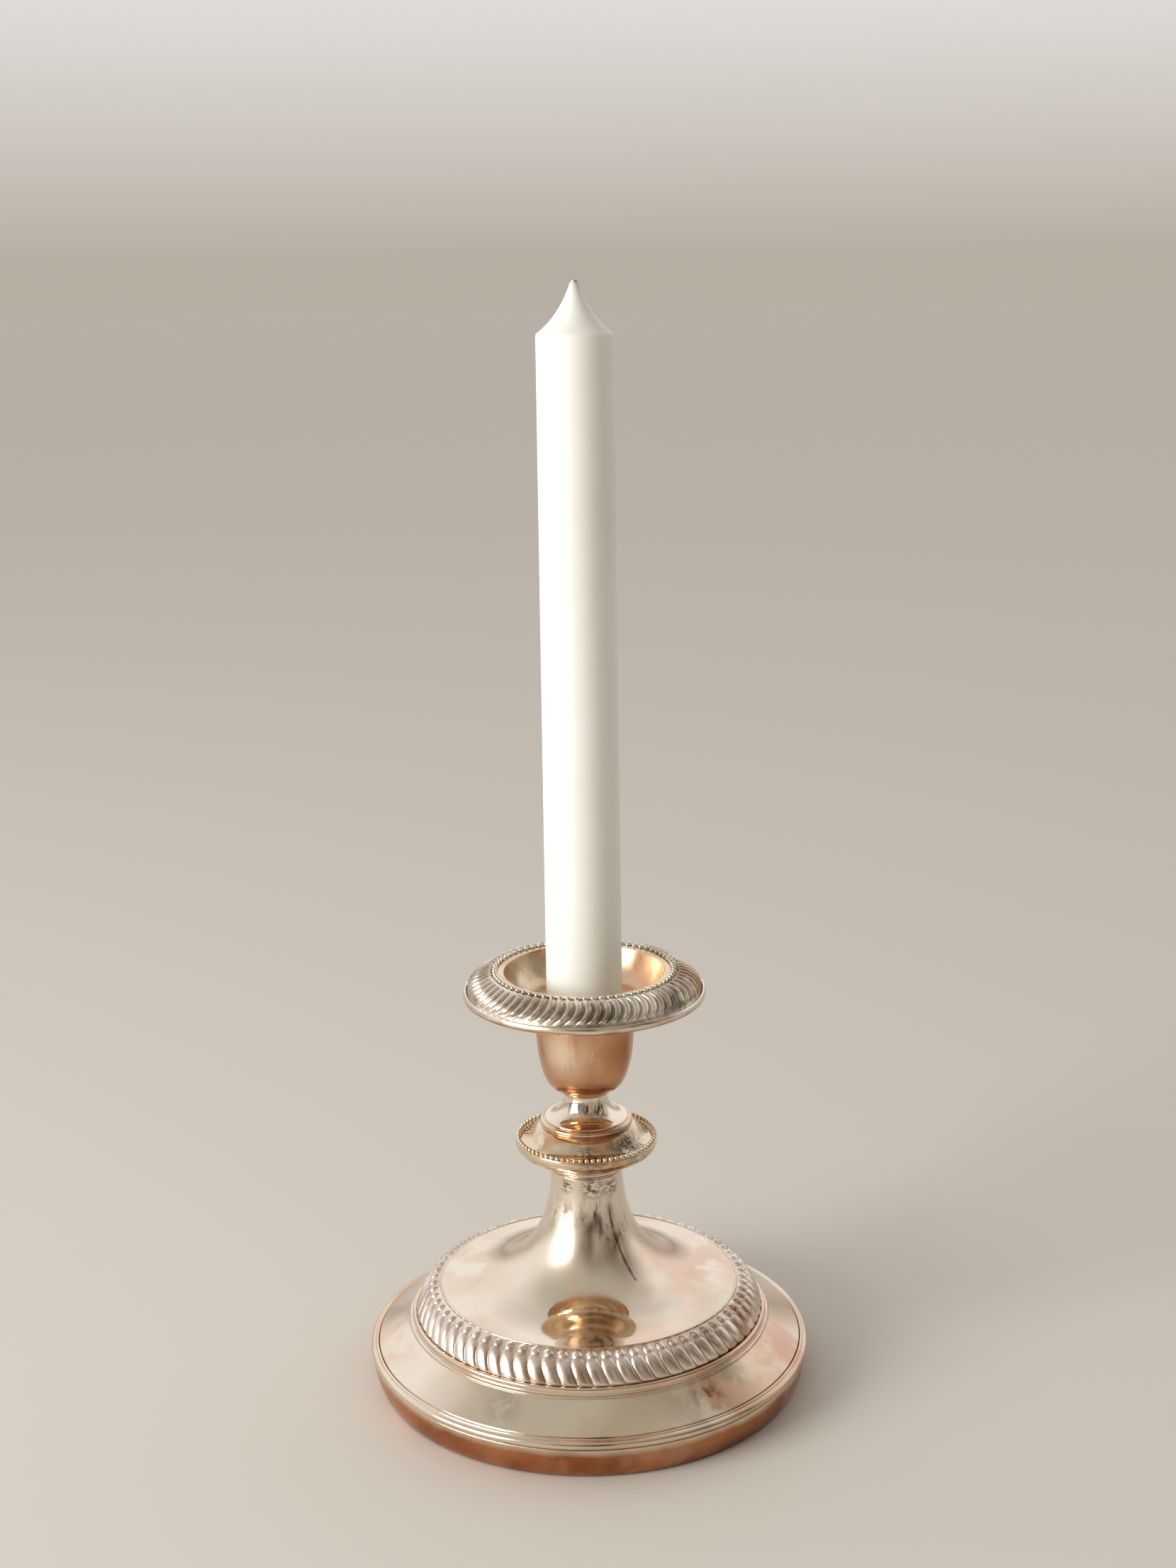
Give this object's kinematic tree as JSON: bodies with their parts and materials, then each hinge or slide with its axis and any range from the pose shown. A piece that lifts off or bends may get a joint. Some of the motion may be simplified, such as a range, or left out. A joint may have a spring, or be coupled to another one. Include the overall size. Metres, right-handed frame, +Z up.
{
  "type": "table candlestick with lift-out nozzle and candle",
  "caption": "Short round candlestick in worn silver plate: loaded domed base with gadroon border, trumpet stem, beaded knop, cup, lift-out drip pan nozzle and a white dinner candle.",
  "frame": {"origin": "on the candlestick's axis, at the underside of the baize that it stands on", "axes": "+Z up along the candle; the object is round, so +Y is any way across and points to the back"},
  "size_m": [0.1308, 0.1308, 0.3195],
  "materials": {
    "silver_plate": "polished silver plate on copper, worn warm, with a light tarnish",
    "struck_silver": "struck silver-plated border, bright on its high points and dark in its valleys",
    "worn_copper": "satin copper where the plate has worn through",
    "pale_copper": "thin plate over copper, peach coloured, smooth",
    "steel": "plain machined steel",
    "tinned_plate": "dull tinned sheet",
    "filling": "cast pitch and plaster filling",
    "baize": "dark green wool baize",
    "wax": "smooth white candle wax with a soft sheen",
    "wick": "waxed plaited cotton"
  },
  "bodies": {
    "stick": {"baize_pad": "baize", "bottom_plate": "tinned_plate", "base_weight": "filling", "foot_band": "worn_copper", "rim_moulding": "silver_plate", "base_shell": "silver_plate", "step_wire": "silver_plate", "base_gadroon": "struck_silver", "stem_shell": "silver_plate", "stem_collar": "silver_plate", "knop_lower": "silver_plate", "knop_upper": "silver_plate", "knop_beading": "struck_silver", "neck_spool": "silver_plate", "sconce_cup": "worn_copper", "cup_liner": "worn_copper", "tie_rod": "steel", "head_washer": "steel", "foot_washer": "steel", "tie_nut": "steel"},
    "nozzle": {"nozzle_sleeve": "worn_copper", "drip_pan": "pale_copper", "pan_gadroon": "struck_silver", "pan_beading": "struck_silver", "pan_edge_wire": "worn_copper"},
    "candle": {"candle": "wax", "wick": "wick"}
  },
  "joints": [
    {"name": "nozzle_lift", "type": "slide", "parent": "stick", "child": "nozzle", "axis": [0, 0, 1], "range_m": [0, 0.03]},
    {"name": "candle_lift", "type": "slide", "parent": "nozzle", "child": "candle", "axis": [0, 0, 1], "range_m": [0, 0.04]}
  ]
}
